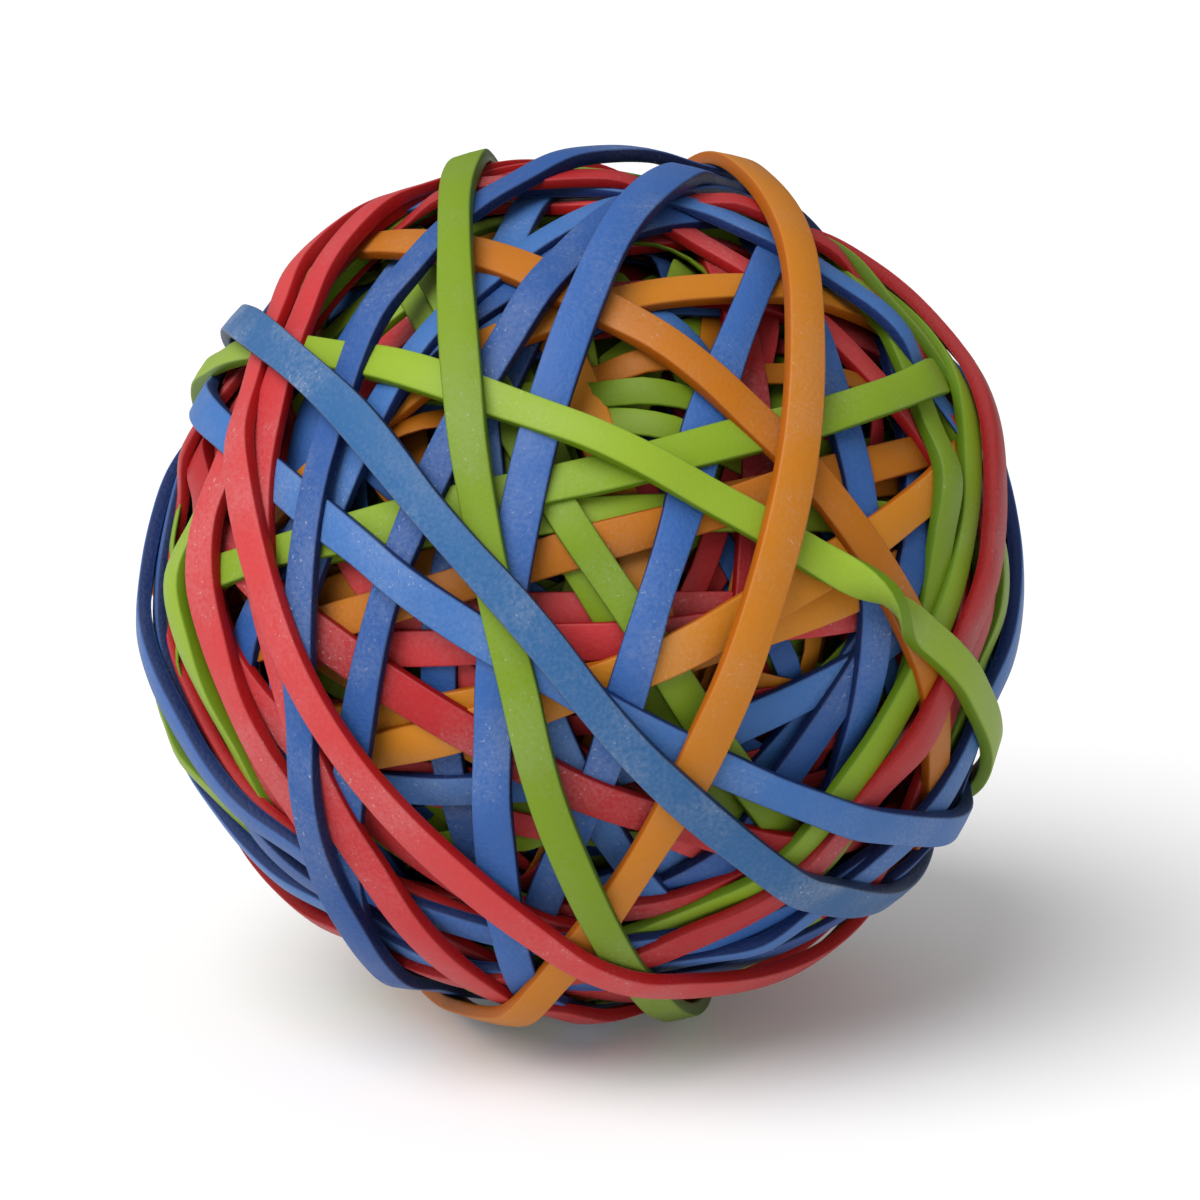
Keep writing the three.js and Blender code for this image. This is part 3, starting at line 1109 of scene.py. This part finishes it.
@dataclass
class Studio:
    """Floor, lights and camera.

    Attributes:
        centre: Centre of the ball in metres.
        radius: Radius of the ball in metres.
        distance: Distance of the camera from the ball's centre, in metres.
        elevation: Height of the camera's view, in degrees.
        fill: Radius of the ball as a share of half the frame.
        aim_right: How far right of the ball's centre the camera aims, as a share of half the frame.
        aim_down: How far below the ball's centre the camera aims, in the same share.
        sensor: Width of the camera's sensor in millimetres.
        floor_size: Side of the floor in metres.
        world_level: Mean brightness of the surroundings.
        world_contrast: How much brighter than that their bright side is.
        key_place: Degrees right of the camera, and above the ball, that the key light comes from.
        key_spread: Angle in degrees over which the key light is spread.
        key_strength: Irradiance of the key light in watts per square metre.
    """

    centre: np.ndarray
    radius: float
    distance: float = 0.3
    elevation: float = 12.0
    fill: float = 0.74
    aim_right: float = 0.024
    aim_down: float = 0.022
    sensor: float = 36.0
    floor_size: float = 60.0
    world_level: float = 0.31
    world_contrast: float = 0.31
    key_place: tuple[float, float] = (-42.0, 48.0)
    key_spread: float = 50.0
    key_strength: float = 3.0

    CLIP_START = 0.01

    def build_floor(self) -> None:
        """Makes the floor, just under the ball."""
        half = self.floor_size / 2
        points = np.array([(-half, -half, 0), (half, -half, 0), (half, half, 0), (-half, half, 0)], float)
        floor = bpy.data.objects.new("floor", build_mesh("floor", points, np.array([[0, 1, 2, 3]]), {}))
        bpy.context.scene.collection.objects.link(floor)
        floor.data.materials.append(FloorFinish().build())
        floor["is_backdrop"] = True

    def direction(self, azimuth: float, elevation: float) -> Vector:
        """Turns two angles into a direction.

        Args:
            azimuth: Degrees right of the camera.
            elevation: Degrees above the ball.

        Returns:
            The unit vector.
        """
        around, above = math.radians(azimuth), math.radians(elevation)
        return Vector((math.sin(around) * math.cos(above), -math.cos(around) * math.cos(above),
                       math.sin(above)))

    def build_lights(self) -> None:
        """Lights the ball softly, most from above and the left."""
        lamp = bpy.data.lights.new("key", "SUN")
        lamp.angle = math.radians(self.key_spread)
        lamp.energy = self.key_strength
        key = bpy.data.objects.new("key", lamp)
        bright_side = self.direction(*self.key_place)
        key.rotation_euler = bright_side.to_track_quat("Z", "Y").to_euler()
        bpy.context.scene.collection.objects.link(key)

        world = bpy.data.worlds.new("studio")
        bpy.context.scene.world = world
        graph = Graph(world)
        towards = graph.add("ShaderNodeTexCoord", output="Generated")
        facing = graph.add("ShaderNodeVectorMath", {"operation": "DOT_PRODUCT"},
                           {0: towards, 1: bright_side}, "Value")
        background = graph.node("ShaderNodeBackground", None, {
            "Color": (1, 1, 1, 1), "Strength": facing * self.world_contrast + self.world_level})
        graph.finish(background, "ShaderNodeOutputWorld")

    def build_camera(self) -> None:
        """Sets the camera so that the ball has its share of the frame."""
        above = math.radians(self.elevation)
        way = Vector((0, -math.cos(above), math.sin(above)))
        up = Vector((0, math.sin(above), math.cos(above)))
        limb = self.radius / math.sqrt(self.distance**2 - self.radius**2)
        half_view = limb / self.fill
        step = half_view * self.distance
        aim = Vector(self.centre) + Vector((1, 0, 0)) * self.aim_right * step - up * self.aim_down * step
        camera = bpy.data.cameras.new("camera")
        camera.sensor_width = self.sensor
        camera.lens = self.sensor / 2 / half_view
        camera.clip_start = self.CLIP_START
        eye = bpy.data.objects.new("camera", camera)
        eye.location = aim + way * self.distance
        eye.rotation_euler = way.to_track_quat("Z", "Y").to_euler()
        bpy.context.scene.collection.objects.link(eye)
        bpy.context.scene.camera = eye

    def build(self) -> None:
        """Builds everything round the ball."""
        bpy.context.scene.view_settings.view_transform = "Standard"
        self.build_floor()
        self.build_lights()
        self.build_camera()


def mean_height(node: bpy.types.Object, centre: np.ndarray) -> float:
    """Mean distance of an object's vertices from the ball's centre."""
    points = np.array([vertex.co for vertex in node.data.vertices], float)
    return float(np.linalg.norm(points - centre, axis=1).mean())


def main() -> None:
    """Builds the ball and its studio."""
    logging.basicConfig(level=logging.INFO, format="%(name)s: %(message)s")
    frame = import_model()
    cad_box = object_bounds()
    low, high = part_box(INNER_NODE)
    centre = np.array((low + high) / 2)
    radius = sum((cad_box[1][axis] - cad_box[0][axis]) for axis in range(3)) / 6
    outer_paint = Paintbox("outer", brightness=1.0, dust=1.0)
    OuterBands(frame["nodes"], centre, outer_paint).build()
    inner_ball = frame["nodes"][INNER_NODE]
    bands = sorted((node for name, node in frame["nodes"].items() if name != INNER_NODE),
                   key=lambda node: mean_height(node, centre))
    # The inner bands' tints are dimmed to 0.78 as painted shade, for lying deep under the outer bands; their
    # lighter dust is the rubber's own.
    InnerBands(Shell([inner_ball], bands, centre), Paintbox("inner", brightness=0.78, dust=0.15)).build()
    MiddleBands(Shell([inner_ball, *bands[:LOWER_BANDS]], bands[LOWER_BANDS:], centre, laid_under=True),
                outer_paint).build()
    Studio(centre, radius).build()


if __name__ == "__main__":
    main()
